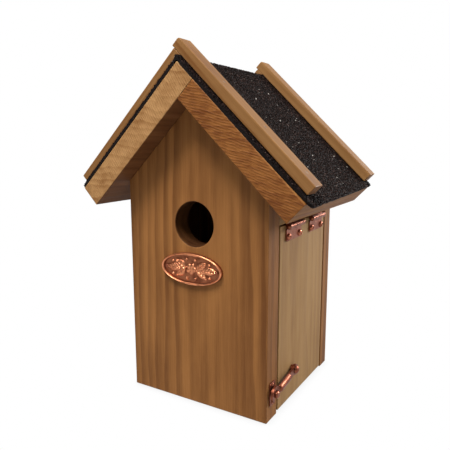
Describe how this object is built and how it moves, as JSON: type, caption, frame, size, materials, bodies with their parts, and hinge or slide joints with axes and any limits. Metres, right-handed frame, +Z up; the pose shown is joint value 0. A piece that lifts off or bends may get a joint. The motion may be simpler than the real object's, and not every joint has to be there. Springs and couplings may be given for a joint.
{
  "type": "birdhouse",
  "caption": "Wooden nest box with a round entrance hole, a felted gable roof with verge battens, and a top-hinged side door held by a swing-hook latch.",
  "frame": {"origin": "middle of the underside of the box, between its outside faces", "axes": "+X towards the side with the door, -Y towards the side with the entrance hole, +Z up"},
  "size_m": [0.1861, 0.132, 0.2542],
  "materials": {
    "panel_wood": "brown stained pine, satin",
    "door_wood": "lightly stained planed pine",
    "roof_wood": "stained pine with saw marks",
    "batten_wood": "stained pine, satin",
    "mineral_felt": "bitumen felt with black mineral granules",
    "copper": "polished copper plate, lightly tarnished",
    "steel": "zinc plated"
  },
  "bodies": {
    "box": {"front_panel": "panel_wood", "back_panel": "panel_wood", "left_side_panel": "panel_wood", "floor_board": "panel_wood", "door_rail": "door_wood", "roof_board_left": "roof_wood", "roof_board_right": "roof_wood", "batten_front_right": "batten_wood", "batten_front_left": "batten_wood", "batten_rear_right": "batten_wood", "batten_rear_left": "batten_wood", "roof_felt": "mineral_felt", "roof_nails": "steel", "batten_nails": "steel", "back_nails": "steel", "front_pins": "steel", "hanger_screws": "steel", "wall_hanger": "steel", "hinge_screws_frame": "copper", "hinge_front_frame_leaf": "copper", "hinge_front_pin": "copper", "hinge_rear_frame_leaf": "copper", "hinge_rear_pin": "copper", "latch_catch_plate": "copper", "catch_screws": "copper", "latch_stud": "copper", "oval_plaque": "copper", "plaque_pins": "copper"},
    "door": {"door_panel": "door_wood", "hinge_front_door_leaf": "copper", "hinge_rear_door_leaf": "copper", "hinge_screws_door": "copper", "latch_pivot_screw": "copper", "latch_collar": "copper"},
    "latch": {"latch_arm": "copper"}
  },
  "joints": [
    {"name": "door_hinge", "type": "hinge", "parent": "box", "child": "door", "pos_m": [0.0598, 0.002, 0.1325], "axis": [0, -1, 0], "range_deg": [0, 115]},
    {"name": "latch_pivot", "type": "hinge", "parent": "door", "child": "latch", "pos_m": [0.0603, -0.0165, 0.0236], "axis": [-1, 0, 0], "range_deg": [0, 90]}
  ]
}
